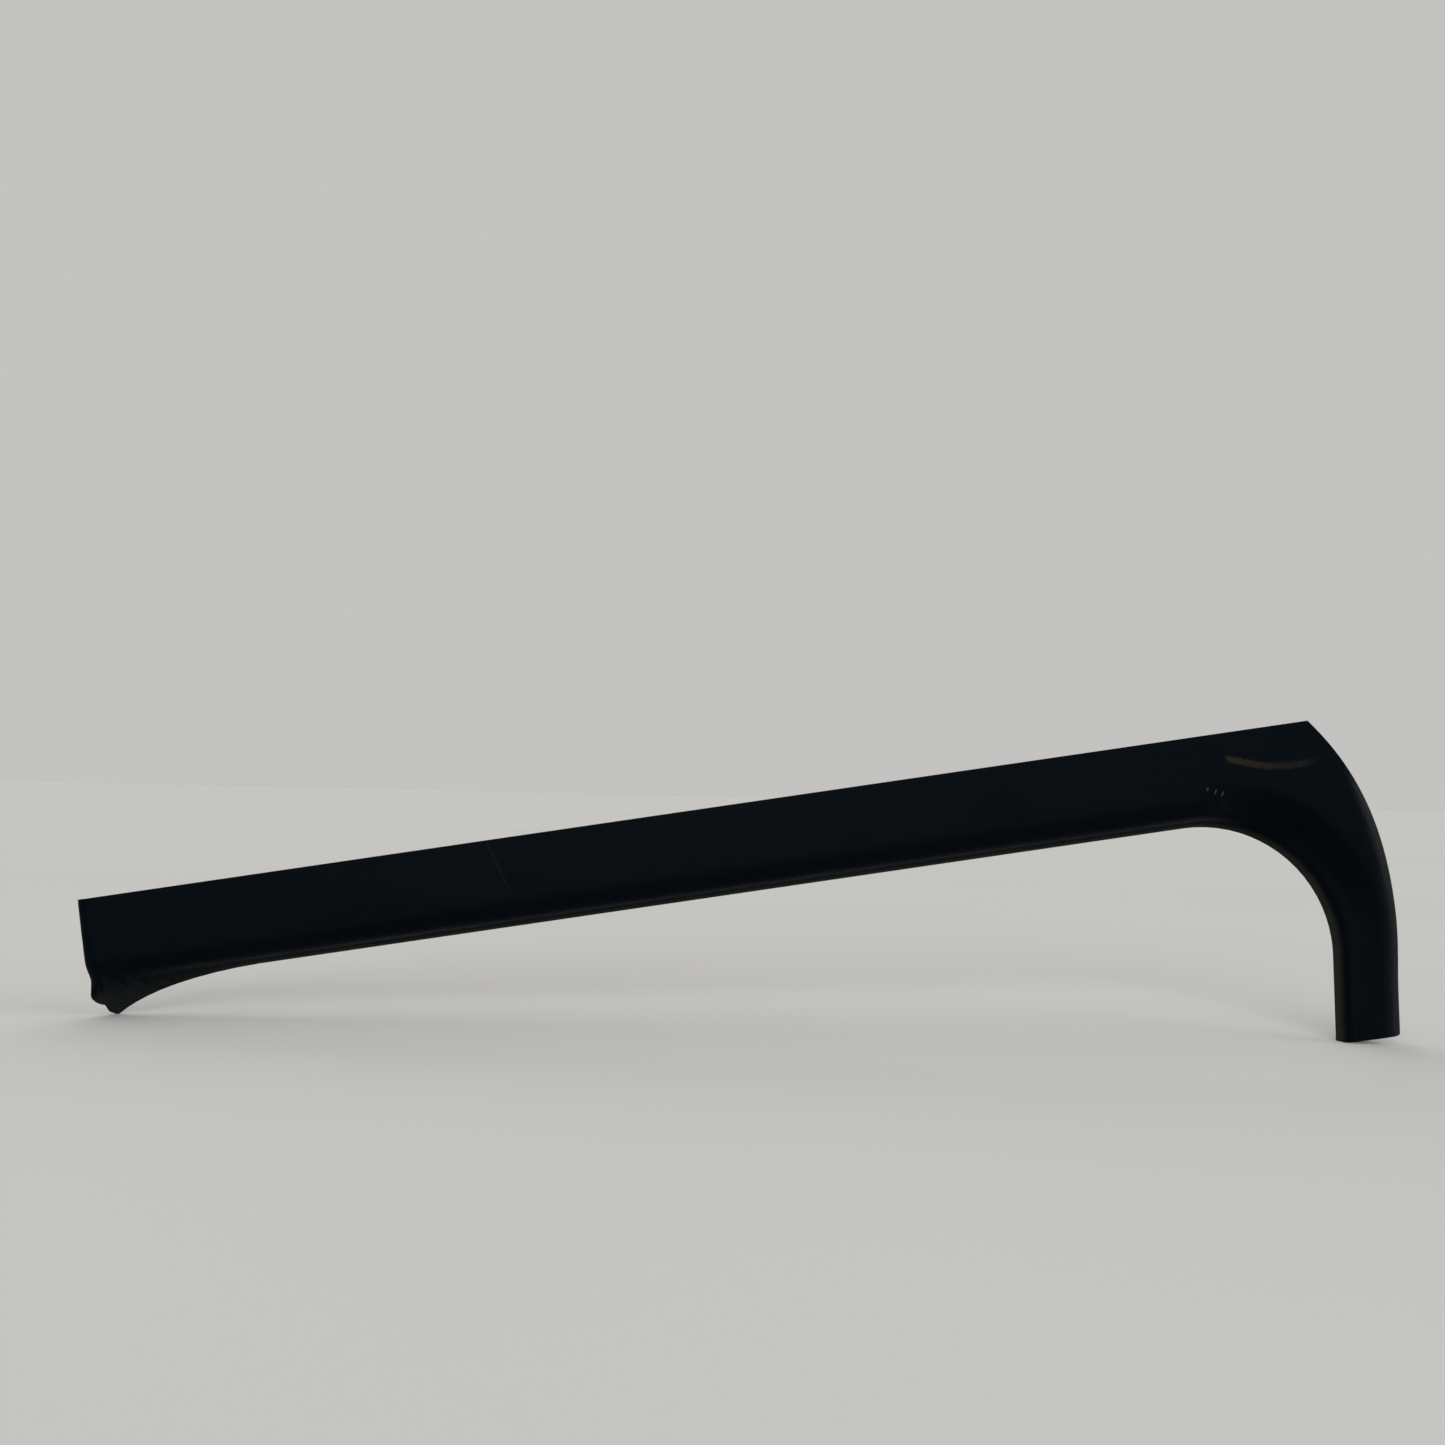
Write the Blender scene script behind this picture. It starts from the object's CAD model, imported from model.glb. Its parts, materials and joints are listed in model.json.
import bmesh
import bpy
import json
from math import cos, pi, radians, sin
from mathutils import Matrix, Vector

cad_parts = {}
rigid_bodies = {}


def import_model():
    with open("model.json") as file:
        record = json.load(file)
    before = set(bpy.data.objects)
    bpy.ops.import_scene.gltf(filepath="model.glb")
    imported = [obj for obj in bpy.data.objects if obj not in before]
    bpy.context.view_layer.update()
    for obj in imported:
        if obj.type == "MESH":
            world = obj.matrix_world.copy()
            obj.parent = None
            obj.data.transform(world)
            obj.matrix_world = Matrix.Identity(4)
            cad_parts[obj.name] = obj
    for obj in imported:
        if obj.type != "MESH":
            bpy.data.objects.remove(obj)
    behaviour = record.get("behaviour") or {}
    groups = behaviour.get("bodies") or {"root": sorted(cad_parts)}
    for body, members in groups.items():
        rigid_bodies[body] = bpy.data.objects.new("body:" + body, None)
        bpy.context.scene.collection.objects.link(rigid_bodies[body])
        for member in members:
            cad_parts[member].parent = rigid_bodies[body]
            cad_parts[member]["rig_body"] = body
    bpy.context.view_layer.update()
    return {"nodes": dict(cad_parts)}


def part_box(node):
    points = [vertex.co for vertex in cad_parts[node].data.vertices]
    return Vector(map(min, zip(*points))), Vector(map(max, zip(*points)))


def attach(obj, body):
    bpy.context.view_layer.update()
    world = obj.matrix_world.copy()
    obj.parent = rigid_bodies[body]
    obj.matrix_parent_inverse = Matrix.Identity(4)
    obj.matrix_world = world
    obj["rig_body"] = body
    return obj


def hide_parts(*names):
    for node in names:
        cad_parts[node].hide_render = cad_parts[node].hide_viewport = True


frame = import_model()
nodes = frame["nodes"]

# All sizes are in metres. The panel has its own directions: "along" runs from the left
# end of the straight edge towards the leg, "drop" is the distance below that edge, and
# "depth" is the distance behind the show face.
STAND_ANGLE = radians(9.52)
EDGE_START = Vector((-0.545041, -0.0277955, 0.0974989))
ALONG = Vector((cos(STAND_ANGLE), 0.0, sin(STAND_ANGLE)))
DOWN = Vector((sin(STAND_ANGLE), 0.0, -cos(STAND_ANGLE)))
BACKWARD = Vector((0.0, 1.0, 0.0))
RIGHTWARD = Vector((1.0, 0.0, 0.0))

# The outer edge of the hook is an arc; below its centre the leg's edge runs straight.
OUTER_CENTRE = (0.793, 0.1696)
OUTER_R = 0.2807
LEG_LEAN = radians(7.4)
OUTER_BAND = 0.020

CAMERA_HEIGHT = 0.2008
CAMERA_AWAY = 1.183
CAMERA_SIDE = -0.0195
CAMERA_PITCH = radians(2.56)
CAMERA_ROLL = radians(1.24)
CAMERA_YAW = radians(-0.1)
CAMERA_LENS = 36.0  # millimetres, as wide as the sensor
CAMERA_FAR_CLIP = 100.0

# Suns: name, the way that the light goes, strength and how many degrees wide it is.
SUNS = (
    ("soft_top", (0.15, 0.1, -1.0), 0.6, 70.0),
    ("front_window", (0.08, 1.0, -0.20), 3.2, 40.0),
    ("right_window", (-1.0, 0.30, -0.12), 2.8, 40.0),
    ("rear_fill", (0.1, -1.0, -0.45), 0.9, 60.0),
)
ROOM_COLOUR = (0.62, 0.615, 0.60, 1.0)
ROOM_LIGHT = 0.88
FLOOR_SIZE = 30.0

# The curved scuff, part of a parabola that opens upward.
SCUFF_START = 0.944
SCUFF_LOWEST = 1.003
SCUFF_END = 1.022
SCUFF_LOWEST_DROP = 0.0342
SCUFF_RISE = 0.0145  # from its lowest place up to its start
SCUFF_CORE = 0.0015
SCUFF_HALF_WIDE = 0.0038
SCUFF_RAGGED = 0.0008
SCUFF_FADE_IN = 0.004
SCUFF_FADE_OUT = 0.016
SCUFF_TURNS_GREY = 0.010  # from its start to where the tan begins to go

# Each nick: where it is along, its drop and half its length.
NICKS = (
    (0.9268, 0.0438, 0.0021),
    (0.9330, 0.0468, 0.0030),
    (0.9386, 0.0492, 0.0029),
)
NICK_SLANT = 0.5
NICK_HALF_WIDE = 0.0011

CREASE_ALONG = 0.3370
CREASE_SLANT = 0.31
CREASE_HALF_WIDE = 0.0011
CREASE_FADES = (0.036, 0.042)

DARK_PATCH = (0.362, 0.035)
DARK_PATCH_SIZE = (0.024, 0.011)

# Colours of the panel, darkest first where there are two.
PLASTIC = ((0.0006, 0.0015, 0.0025, 1.0), (0.0008, 0.0019, 0.0030, 1.0))
DUST = (0.004, 0.0042, 0.0042, 1.0)
PATCH_COLOUR = (0.0003, 0.0006, 0.0009, 1.0)
CREASE_COLOUR = (0.020, 0.020, 0.021, 1.0)
SCUFF_TAN = (0.0132, 0.0112, 0.0066, 1.0)
SCUFF_GREY = (0.0068, 0.0062, 0.0060, 1.0)
NICK_COLOUR = (0.040, 0.040, 0.041, 1.0)
RUBBED_COLOUR = (0.016, 0.0165, 0.0150, 1.0)
HAZE_COLOUR = (0.0075, 0.0083, 0.0088, 1.0)
OUTER_BAND_COLOUR = (0.0055, 0.0065, 0.0075, 1.0)
RAW_BACK = ((0.013, 0.0135, 0.014, 1.0), (0.022, 0.0225, 0.023, 1.0))

# Colours of the other parts and the floor.
NYLON = ((0.60, 0.585, 0.52, 1.0), (0.70, 0.69, 0.63, 1.0))
WASHER_FOAM = ((0.020, 0.021, 0.023, 1.0), (0.045, 0.046, 0.050, 1.0))
FOAM = ((0.018, 0.019, 0.021, 1.0), (0.085, 0.088, 0.094, 1.0))
FOAM_MOTTLE = (0.060, 0.060, 0.062, 1.0)
FELT = ((0.006, 0.006, 0.007, 1.0), (0.030, 0.030, 0.032, 1.0))
FLOOR = ((0.46, 0.456, 0.444, 1.0), (0.49, 0.486, 0.474, 1.0))

FOAM_BLOCKS = 5
FOAM_INSET = 0.0006  # the block's sides, inside those of its CAD node
FOAM_BULGE = 0.0005  # how far the middle of a side swells
FOAM_CUTS = 10
FOAM_SOFT_EDGE = 0.0012
FELT_INSET = 0.0001
FELT_BULGE = 0.0001
FELT_CUTS = 24
FELT_SOFT_EDGE = 0.0004
ON_A_SIDE = 1e-5  # a vertex this close to a cube's side counts as on it

CLIPS = 7
WASHER_RING = 0.0043  # from the washer's hole to its rim
WASHER_CORNER = 0.0007
WASHER_TURNS = 64
CORNER_STEPS = 4


def clear_slots(obj, material):
    obj.data.materials.clear()
    obj.data.materials.append(material)


def link_object(name, data):
    obj = bpy.data.objects.new(name, data)
    bpy.context.scene.collection.objects.link(obj)
    return obj


class Nodes:
    """A short way to write a material's node tree."""

    def __init__(self, name):
        self.material = bpy.data.materials.new(name)
        self.material.use_nodes = True
        self.tree = self.material.node_tree
        self.shader = self.tree.nodes["Principled BSDF"]

    def add(self, kind, **settings):
        node = self.tree.nodes.new(kind)
        for key, value in settings.items():
            setattr(node, key, value)
        return node

    def link(self, source, target):
        self.tree.links.new(source, target)

    def feed(self, socket, value):
        if isinstance(value, (int, float, tuple, list, Vector)):
            socket.default_value = value
        else:
            self.link(value, socket)

    def paint(self, colour=None, roughness=None, normal=None):
        """Links the finished colour, roughness and normal to the shader."""
        finished = (("Base Color", colour), ("Roughness", roughness), ("Normal", normal))
        for socket, source in finished:
            if source is not None:
                self.link(source, self.shader.inputs[socket])

    def math(self, operation, a, b=0.0):
        node = self.add("ShaderNodeMath", operation=operation)
        self.feed(node.inputs[0], a)
        self.feed(node.inputs[1], b)
        return node.outputs[0]

    def times(self, a, b):
        return self.math("MULTIPLY", a, b)

    def plus(self, a, b):
        return self.math("ADD", a, b)

    def minus(self, a, b):
        return self.math("SUBTRACT", a, b)

    def hypotenuse(self, a, b):
        return self.math("SQRT", self.plus(self.times(a, a), self.times(b, b)))

    def position(self):
        return self.add("ShaderNodeTexCoord").outputs["Object"]

    def distance_along(self, origin, direction):
        """Distance of the shaded point from origin, measured along a direction."""
        offset = self.add("ShaderNodeVectorMath", operation="SUBTRACT")
        self.link(self.position(), offset.inputs[0])
        offset.inputs[1].default_value = origin
        dot = self.add("ShaderNodeVectorMath", operation="DOT_PRODUCT")
        self.link(offset.outputs[0], dot.inputs[0])
        dot.inputs[1].default_value = direction
        return dot.outputs["Value"]

    def facing(self, direction):
        """How far the surface faces a direction: 1 straight at it, -1 straight away."""
        dot = self.add("ShaderNodeVectorMath", operation="DOT_PRODUCT")
        self.link(self.add("ShaderNodeNewGeometry").outputs["True Normal"], dot.inputs[0])
        dot.inputs[1].default_value = direction
        return dot.outputs["Value"]

    def noise(self, scale, detail=2.0, roughness=0.5, vector=None):
        node = self.add("ShaderNodeTexNoise")
        node.inputs["Scale"].default_value = scale
        node.inputs["Detail"].default_value = detail
        node.inputs["Roughness"].default_value = roughness
        self.link(vector if vector is not None else self.position(), node.inputs["Vector"])
        return node.outputs["Fac"]

    def cells(self, scale):
        """Distance from the middle of the nearest cell of a random pattern."""
        node = self.add("ShaderNodeTexVoronoi", feature="F1")
        node.inputs["Scale"].default_value = scale
        self.link(self.position(), node.inputs["Vector"])
        return node.outputs["Distance"]

    def stretched(self, scale):
        """The position, scaled in the panel's own directions."""
        node = self.add("ShaderNodeMapping")
        node.inputs["Rotation"].default_value = (0.0, STAND_ANGLE, 0.0)
        node.inputs["Scale"].default_value = scale
        self.link(self.position(), node.inputs["Vector"])
        return node.outputs["Vector"]

    def remap(self, value, low, high, to_low=0.0, to_high=1.0):
        """A smooth step from to_low at low to to_high at high."""
        node = self.add("ShaderNodeMapRange", interpolation_type="SMOOTHSTEP")
        self.feed(node.inputs["Value"], value)
        node.inputs["From Min"].default_value = low
        node.inputs["From Max"].default_value = high
        node.inputs["To Min"].default_value = to_low
        node.inputs["To Max"].default_value = to_high
        return node.outputs["Result"]

    def mix(self, amount, first, second):
        node = self.add("ShaderNodeMix", data_type="RGBA")
        self.feed(node.inputs["Factor"], amount)
        self.feed(node.inputs["A"], first)
        self.feed(node.inputs["B"], second)
        return node.outputs["Result"]

    def bell(self, value, centre, width):
        """1 at centre, falling smoothly to 0 at a distance of width each side."""
        away = self.math("ABSOLUTE", self.minus(value, centre))
        return self.remap(away, 0.0, width, to_low=1.0, to_high=0.0)

    def bump(self, height, strength, distance, normal=None):
        node = self.add("ShaderNodeBump")
        node.inputs["Strength"].default_value = strength
        node.inputs["Distance"].default_value = distance
        self.link(height, node.inputs["Height"])
        if normal is not None:
            self.link(normal, node.inputs["Normal"])
        return node.outputs["Normal"]


def patch(n, along, drop, centre, size):
    """A soft oval patch on the show face; centre and size are (along, drop)."""
    a = n.math("DIVIDE", n.minus(along, centre[0]), size[0])
    b = n.math("DIVIDE", n.minus(drop, centre[1]), size[1])
    return n.remap(n.hypotenuse(a, b), 0.2, 1.0, to_low=1.0, to_high=0.0)


def scuff_swoosh(n, along, drop):
    """The long curved scuff near the hook's corner: where it is, and how grey it is."""
    bend = n.math("DIVIDE", n.minus(along, SCUFF_LOWEST), SCUFF_LOWEST - SCUFF_START)
    line = n.minus(SCUFF_LOWEST_DROP, n.times(n.times(bend, bend), SCUFF_RISE))
    away = n.math("ABSOLUTE", n.minus(drop, line))
    edge = n.noise(scale=420.0, detail=3.0, roughness=0.6)
    ragged = n.plus(away, n.remap(edge, 0.3, 0.7, to_low=-SCUFF_RAGGED, to_high=SCUFF_RAGGED))
    across = n.remap(ragged, SCUFF_CORE, SCUFF_HALF_WIDE, to_low=1.0, to_high=0.0)
    begins = n.remap(along, SCUFF_START, SCUFF_START + SCUFF_FADE_IN)
    ends = n.remap(along, SCUFF_END - SCUFF_FADE_OUT, SCUFF_END, to_low=1.0, to_high=0.0)
    speckle = n.noise(scale=900.0, detail=3.0, roughness=0.7)
    broken = n.remap(speckle, 0.30, 0.60, to_low=0.45, to_high=1.0)
    mask = n.times(n.times(across, n.times(begins, ends)), broken)
    return mask, n.remap(along, SCUFF_START + SCUFF_TURNS_GREY, SCUFF_LOWEST)


def nicks(n, along, drop):
    """Three short pale nicks below the scuff."""
    total = 0.0
    for nick_along, nick_drop, half_long in NICKS:
        slant = n.plus(along, n.times(drop, NICK_SLANT))
        thin = n.bell(slant, nick_along + NICK_SLANT * nick_drop, NICK_HALF_WIDE)
        long = n.bell(drop, nick_drop, half_long)
        total = n.plus(total, n.times(thin, long))
    return total


def crease(n, along, drop):
    """A faint pale line across the face, a third of the way along."""
    slant = n.minus(along, n.times(drop, CREASE_SLANT))
    thin = n.bell(slant, CREASE_ALONG, CREASE_HALF_WIDE)
    upper = n.remap(drop, CREASE_FADES[0], CREASE_FADES[1], to_low=1.0, to_high=0.0)
    return n.times(thin, upper)


def outer_band(n, along, drop):
    """The band along the outer edge of the hook and leg: 1 at the edge, 0 inside it."""
    right = n.minus(along, OUTER_CENTRE[0])
    lower = n.minus(drop, OUTER_CENTRE[1])
    across_leg = n.plus(n.times(right, cos(LEG_LEAN)), n.times(lower, sin(LEG_LEAN)))
    down_leg = n.minus(n.times(lower, cos(LEG_LEAN)), n.times(right, sin(LEG_LEAN)))
    above_centre = n.math("MINIMUM", down_leg, 0.0)
    inside = n.minus(OUTER_R, n.hypotenuse(across_leg, above_centre))
    edge = n.remap(inside, 0.0, OUTER_BAND, to_low=1.0, to_high=0.0)
    return n.times(edge, n.remap(drop, 0.06, 0.16))


def trim_plastic():
    """Black moulded plastic with a fine grain, low gloss and light scuffs."""
    n = Nodes("trim_plastic")
    along = n.distance_along(EDGE_START, ALONG)
    drop = n.distance_along(EDGE_START, DOWN)
    depth = n.distance_along(EDGE_START, BACKWARD)
    cloudy = n.noise(scale=14.0, detail=4.0, roughness=0.6)
    streaks = n.noise(scale=60.0, detail=3.0, roughness=0.6, vector=n.stretched((0.12, 1.0, 1.0)))

    base = n.mix(cloudy, PLASTIC[0], PLASTIC[1])
    specks = n.noise(scale=420.0, detail=5.0, roughness=0.75)
    base = n.mix(n.times(n.remap(specks, 0.60, 0.76), 0.35), base, DUST)
    darker = patch(n, along, drop, DARK_PATCH, DARK_PATCH_SIZE)
    base = n.mix(n.times(darker, 0.45), base, PATCH_COLOUR)
    base = n.mix(n.times(crease(n, along, drop), 0.16), base, CREASE_COLOUR)
    scuff, greyness = scuff_swoosh(n, along, drop)
    base = n.mix(scuff, base, n.mix(greyness, SCUFF_TAN, SCUFF_GREY))
    base = n.mix(n.times(nicks(n, along, drop), 0.8), base, NICK_COLOUR)

    # The rolled lip is rubbed towards its rear edge, except at the flared end.
    rubbed = n.remap(depth, 0.024, 0.034)
    rubbed = n.times(rubbed, n.remap(streaks, 0.25, 0.6, to_low=0.6, to_high=1.0))
    rubbed = n.times(rubbed, n.remap(along, 0.05, 0.13))
    base = n.mix(rubbed, base, RUBBED_COLOUR)
    hazy = n.remap(n.facing(RIGHTWARD), 0.10, 0.40)
    base = n.mix(hazy, base, HAZE_COLOUR)
    base = n.mix(outer_band(n, along, drop), base, OUTER_BAND_COLOUR)

    # The back is paler, which lets its ribs and towers be seen.
    shown = n.remap(n.facing(BACKWARD), -0.12, -0.02)
    base = n.mix(shown, base, n.mix(streaks, RAW_BACK[0], RAW_BACK[1]))

    # The rolled lip is duller than the face.
    dull = n.remap(drop, 0.09, 0.13, to_low=0.30, to_high=0.0)
    dull = n.times(n.remap(depth, 0.012, 0.022), dull)
    rough = n.remap(cloudy, 0.3, 0.7, to_low=0.42, to_high=0.50)
    rough = n.plus(n.remap(streaks, 0.3, 0.7, to_low=-0.03, to_high=0.03), rough)
    rough = n.plus(rough, dull)

    fine = n.noise(scale=1500.0, detail=2.0, roughness=0.6)
    grain = n.bump(fine, strength=0.35, distance=0.00012)
    broad = n.noise(scale=9.0, detail=2.0, roughness=0.5)
    waves = n.bump(broad, strength=0.12, distance=0.002, normal=grain)
    n.paint(base, rough, waves)
    n.shader.inputs["Specular IOR Level"].default_value = 0.013
    return n.material


def clip_nylon():
    """Natural nylon: off-white, slightly translucent, with faint flow marks."""
    n = Nodes("clip_nylon")
    tone = n.mix(n.noise(scale=220.0, detail=3.0), NYLON[0], NYLON[1])
    rough = n.remap(n.noise(scale=700.0, detail=3.0), 0.3, 0.7, to_low=0.32, to_high=0.46)
    marks = n.bump(n.noise(scale=900.0, detail=2.0), strength=0.2, distance=0.0001)
    n.paint(tone, rough, marks)
    n.shader.inputs["Subsurface Weight"].default_value = 0.15
    n.shader.inputs["Subsurface Scale"].default_value = 0.002
    return n.material


def closed_cell_foam():
    """Dark closed-cell foam of the sealing washers."""
    n = Nodes("washer_foam")
    cells = n.cells(scale=1800.0)
    tone = n.mix(cells, WASHER_FOAM[0], WASHER_FOAM[1])
    rough = n.remap(n.noise(scale=300.0), 0.3, 0.7, to_low=0.78, to_high=0.92)
    n.paint(tone, rough, n.bump(cells, strength=0.6, distance=0.0003))
    n.shader.inputs["Specular IOR Level"].default_value = 0.2
    return n.material


def open_cell_foam():
    """Grey open-cell foam with visible pores."""
    n = Nodes("foam")
    pores = n.cells(scale=750.0)
    walls = n.remap(pores, 0.15, 0.6)
    tone = n.mix(walls, FOAM[0], FOAM[1])
    mottled = n.mix(n.remap(n.noise(scale=40.0, detail=3.0), 0.35, 0.7), tone, FOAM_MOTTLE)
    rough = n.remap(pores, 0.0, 0.6, to_low=0.95, to_high=0.85)
    n.paint(mottled, rough, n.bump(walls, strength=0.8, distance=0.0006))
    n.shader.inputs["Specular IOR Level"].default_value = 0.1
    return n.material


def needled_felt():
    """Black needled felt: short tangled fibres."""
    n = Nodes("felt")
    lengthwise = n.stretched((0.35, 1.0, 1.0))
    fibres = n.noise(scale=2600.0, detail=6.0, roughness=0.8, vector=lengthwise)
    tone = n.mix(n.remap(fibres, 0.35, 0.65), FELT[0], FELT[1])
    rough = n.remap(fibres, 0.3, 0.7, to_low=0.9, to_high=1.0)
    n.paint(tone, rough, n.bump(fibres, strength=0.9, distance=0.0005))
    n.shader.inputs["Sheen Weight"].default_value = 0.25
    return n.material


def studio_floor():
    n = Nodes("studio_floor")
    n.paint(n.mix(n.noise(scale=0.9, detail=3.0), FLOOR[0], FLOOR[1]))
    n.shader.inputs["Roughness"].default_value = 0.95
    n.shader.inputs["Specular IOR Level"].default_value = 0.0
    return n.material


def node_extent(node):
    """Lowest and highest (along, drop, depth) of a CAD node."""
    places = []
    for vertex in nodes[node].data.vertices:
        offset = vertex.co - EDGE_START
        places.append((offset.dot(ALONG), offset.dot(DOWN), offset.y))
    low = Vector([min(place[k] for place in places) for k in range(3)])
    high = Vector([max(place[k] for place in places) for k in range(3)])
    return low, high


def turned_box(name, node, inset, bulge, cuts, material):
    """A soft block in the space its CAD node holds, in the panel's own directions."""
    low, high = node_extent(node)
    mesh = bpy.data.meshes.new(name)
    bm = bmesh.new()
    bmesh.ops.create_cube(bm, size=2.0)
    bmesh.ops.subdivide_edges(bm, edges=bm.edges[:], cuts=cuts, use_grid_fill=True)
    half = (high - low) * 0.5
    middle = (high + low) * 0.5
    for vertex in bm.verts:
        cube = vertex.co.copy()
        local = Vector()
        for axis in range(3):
            swell = 0.0
            if abs(abs(cube[axis]) - 1.0) < ON_A_SIDE:
                u, v = [cube[k] for k in range(3) if k != axis]
                swell = bulge * (1.0 - u ** 2) * (1.0 - v ** 2)
            local[axis] = middle[axis] + cube[axis] * (half[axis] - inset + swell)
        vertex.co = EDGE_START + ALONG * local[0] + DOWN * local[1] + BACKWARD * local[2]
    bmesh.ops.recalc_face_normals(bm, faces=bm.faces[:])
    bm.to_mesh(mesh)
    bm.free()
    mesh.materials.append(material)
    return link_object(name, mesh)


def soften_edges(obj, width, segments):
    bevel = obj.modifiers.new("soft_edges", "BEVEL")
    bevel.width = width
    bevel.segments = segments
    bevel.limit_method = "ANGLE"
    obj.data.shade_smooth()


def foam_blocks(material):
    for i in range(1, FOAM_BLOCKS + 1):
        node = f"foam_block_{i}"
        name = f"anti_rattle_foam_{i}"
        block = turned_box(name, node, FOAM_INSET, FOAM_BULGE, FOAM_CUTS, material)
        soften_edges(block, FOAM_SOFT_EDGE, 3)
        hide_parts(node)
        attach(block, "trim_panel")


def felt_tape(material):
    node = "felt_edge_tape"
    tape = turned_box("anti_squeak_felt", node, FELT_INSET, FELT_BULGE, FELT_CUTS, material)
    soften_edges(tape, FELT_SOFT_EDGE, 2)
    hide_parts("felt_edge_tape")
    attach(tape, "trim_panel")


def washer_section(outer, inner, half):
    """The washer's section as (radius, height) points, round its four soft corners."""
    corner = WASHER_CORNER
    corners = (
        (outer - corner, half - corner, 0.0),
        (inner + corner, half - corner, 90.0),
        (inner + corner, -half + corner, 180.0),
        (outer - corner, -half + corner, 270.0),
    )
    section = []
    for radius, height, first in corners:
        for step in range(CORNER_STEPS + 1):
            a = radians(first + 90.0 / CORNER_STEPS * step)
            section.append((radius + corner * cos(a), height + corner * sin(a)))
    return section


def washer_mesh(name, node, material):
    """A foam ring with rounded edges, turned about the clip's stem."""
    low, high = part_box(node)
    centre = (Vector(low) + Vector(high)) * 0.5
    outer = (high[0] - low[0]) * 0.5
    half = (high[1] - low[1]) * 0.5
    section = washer_section(outer, outer - WASHER_RING, half)
    mesh = bpy.data.meshes.new(name)
    bm = bmesh.new()
    rings = []
    for i in range(WASHER_TURNS):
        a = 2.0 * pi * i / WASHER_TURNS
        ring = []
        for radius, height in section:
            ring.append(bm.verts.new(centre + Vector((radius * cos(a), height, radius * sin(a)))))
        rings.append(ring)
    for i, ring in enumerate(rings):
        after = rings[(i + 1) % WASHER_TURNS]
        for j in range(len(section)):
            k = (j + 1) % len(section)
            bm.faces.new((ring[j], ring[k], after[k], after[j]))
    bmesh.ops.recalc_face_normals(bm, faces=bm.faces[:])
    bm.to_mesh(mesh)
    bm.free()
    mesh.materials.append(material)
    mesh.shade_smooth()
    return link_object(name, mesh)


def body_of(node):
    return nodes[node]["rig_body"]


def washers(material):
    for i in range(1, CLIPS + 1):
        node = f"seal_washer_{i}"
        ring = washer_mesh(f"foam_washer_{i}", node, material)
        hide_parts(node)
        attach(ring, body_of(node))


def floor_plane():
    mesh = bpy.data.meshes.new("floor")
    bm = bmesh.new()
    bmesh.ops.create_grid(bm, x_segments=2, y_segments=2, size=FLOOR_SIZE)
    bm.to_mesh(mesh)
    bm.free()
    mesh.materials.append(studio_floor())
    floor = link_object("floor", mesh)


def soft_sun(name, direction, strength, spread):
    data = bpy.data.lights.new(name, "SUN")
    data.energy = strength
    data.angle = radians(spread)
    light = link_object(name, data)
    light.rotation_euler = Vector(direction).to_track_quat("-Z", "Y").to_euler()


def studio():
    world = bpy.data.worlds.new("studio")
    bpy.context.scene.world = world
    world.use_nodes = True
    background = world.node_tree.nodes["Background"]
    background.inputs["Color"].default_value = ROOM_COLOUR
    background.inputs["Strength"].default_value = ROOM_LIGHT
    for name, direction, strength, spread in SUNS:
        soft_sun(name, direction, strength, spread)
    floor_plane()


def camera():
    data = bpy.data.cameras.new("camera")
    data.lens = CAMERA_LENS
    data.sensor_width = CAMERA_LENS
    data.clip_end = CAMERA_FAR_CLIP
    obj = link_object("camera", data)
    obj.location = (CAMERA_SIDE, EDGE_START.y - CAMERA_AWAY, CAMERA_HEIGHT)
    level = cos(CAMERA_PITCH)
    forward = Vector((sin(CAMERA_YAW) * level, cos(CAMERA_YAW) * level, sin(CAMERA_PITCH)))
    turn = forward.to_track_quat("-Z", "Y").to_matrix().to_4x4()
    roll = turn.Rotation(CAMERA_ROLL, 4, "Z")
    obj.rotation_euler = (turn @ roll).to_euler()
    bpy.context.scene.camera = obj


def finish_cad_nodes():
    plastic = trim_plastic()
    nylon = clip_nylon()
    clear_slots(nodes["sill_trim_panel"], plastic)
    for i in range(1, CLIPS + 1):
        clear_slots(nodes[f"retainer_clip_{i}"], nylon)


bpy.context.scene.view_settings.view_transform = "Standard"
camera()
studio()
finish_cad_nodes()
foam_blocks(open_cell_foam())
felt_tape(needled_felt())
washers(closed_cell_foam())
